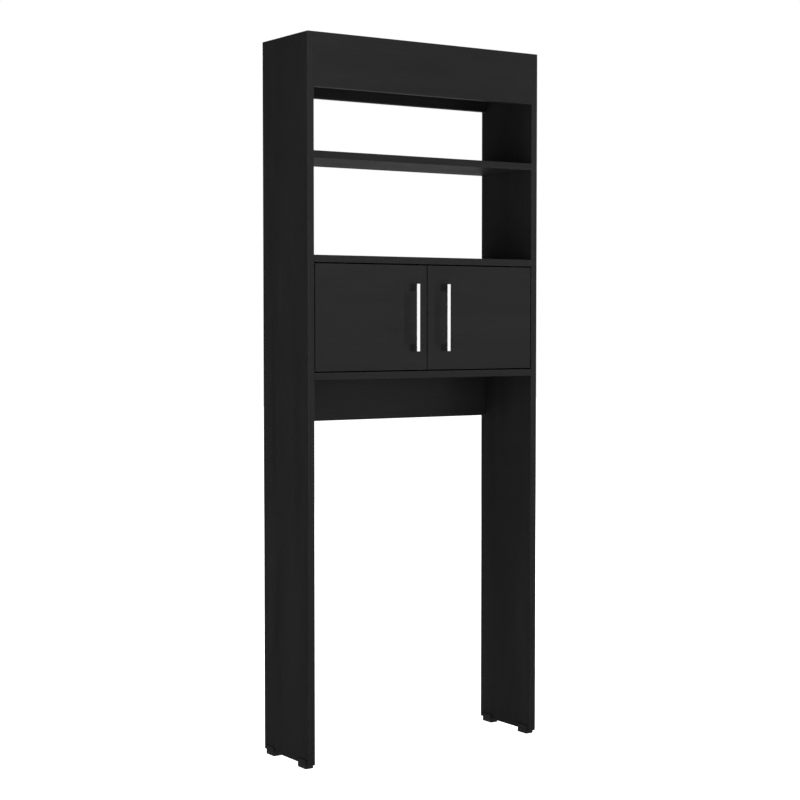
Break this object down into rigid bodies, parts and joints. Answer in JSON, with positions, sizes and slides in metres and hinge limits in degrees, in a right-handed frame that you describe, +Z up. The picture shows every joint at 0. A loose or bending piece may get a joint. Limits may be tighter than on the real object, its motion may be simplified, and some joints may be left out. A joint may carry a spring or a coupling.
{
  "type": "over the toilet storage rack",
  "caption": "Tall open-frame bathroom rack of black boards that stands over a toilet, with a hinged two-door cabinet, open shelves, rails, a fascia and feet.",
  "frame": {"origin": "middle of the floor rectangle that the rack covers, at floor level", "axes": "+Z up; the doors and handles face -Y; the wall is at +Y; +X is to the right of a person facing the doors"},
  "size_m": [0.605, 0.216, 1.542],
  "materials": {
    "black_board": "melamine-faced board, satin, very fine dark wood grain",
    "back_board": "thin hardboard, matt black face",
    "handle_chrome": "polished plating on a zinc casting",
    "hinge_steel": "nickel plated",
    "screw_steel": "nickel plated",
    "cam_zinc": "raw die-cast zinc",
    "bracket_steel": "zinc plated",
    "foot_plastic": "moulded, matt black"
  },
  "bodies": {
    "carcass": {"side_panel_left": "black_board", "side_panel_right": "black_board", "top_panel": "black_board", "fascia_board": "black_board", "upper_rear_rail": "black_board", "open_shelf": "black_board", "cabinet_top": "black_board", "cabinet_bottom": "black_board", "lower_rear_rail": "black_board", "cabinet_back": "back_board", "hinge_arm_left_upper": "hinge_steel", "hinge_arm_left_lower": "hinge_steel", "hinge_arm_right_upper": "hinge_steel", "hinge_arm_right_lower": "hinge_steel", "hinge_plate_left_upper": "hinge_steel", "hinge_plate_left_lower": "hinge_steel", "hinge_plate_right_upper": "hinge_steel", "hinge_plate_right_lower": "hinge_steel", "cam_top_panel_left": "cam_zinc", "cam_top_panel_right": "cam_zinc", "cam_open_shelf_left": "cam_zinc", "cam_open_shelf_right": "cam_zinc", "cam_cabinet_top_left": "cam_zinc", "cam_cabinet_top_right": "cam_zinc", "cam_cabinet_bottom_left": "cam_zinc", "cam_cabinet_bottom_right": "cam_zinc", "cam_bolt_top_panel_left": "screw_steel", "cam_bolt_top_panel_right": "screw_steel", "cam_bolt_open_shelf_left": "screw_steel", "cam_bolt_open_shelf_right": "screw_steel", "cam_bolt_cabinet_top_left": "screw_steel", "cam_bolt_cabinet_top_right": "screw_steel", "cam_bolt_cabinet_bottom_left": "screw_steel", "cam_bolt_cabinet_bottom_right": "screw_steel", "foot_left_front": "foot_plastic", "foot_left_rear": "foot_plastic", "foot_right_front": "foot_plastic", "foot_right_rear": "foot_plastic", "wall_bracket_left": "bracket_steel", "wall_bracket_right": "bracket_steel", "bracket_screw_left": "screw_steel", "bracket_screw_right": "screw_steel"},
    "left_door": {"door_left": "black_board", "handle_left": "handle_chrome", "handle_screw_left_upper": "screw_steel", "handle_screw_left_lower": "screw_steel", "hinge_cup_left_upper": "hinge_steel", "hinge_cup_left_lower": "hinge_steel", "hinge_pin_left_upper": "hinge_steel", "hinge_pin_left_lower": "hinge_steel"},
    "right_door": {"door_right": "black_board", "handle_right": "handle_chrome", "handle_screw_right_upper": "screw_steel", "handle_screw_right_lower": "screw_steel", "hinge_cup_right_upper": "hinge_steel", "hinge_cup_right_lower": "hinge_steel", "hinge_pin_right_upper": "hinge_steel", "hinge_pin_right_lower": "hinge_steel"}
  },
  "joints": [
    {"name": "left_door_swing", "type": "hinge", "parent": "carcass", "child": "left_door", "pos_m": [-0.271, -0.075, 0.9505], "axis": [0, 0, -1], "range_deg": [0, 95]},
    {"name": "right_door_swing", "type": "hinge", "parent": "carcass", "child": "right_door", "pos_m": [0.271, -0.075, 0.9505], "axis": [0, 0, 1], "range_deg": [0, 95]}
  ]
}
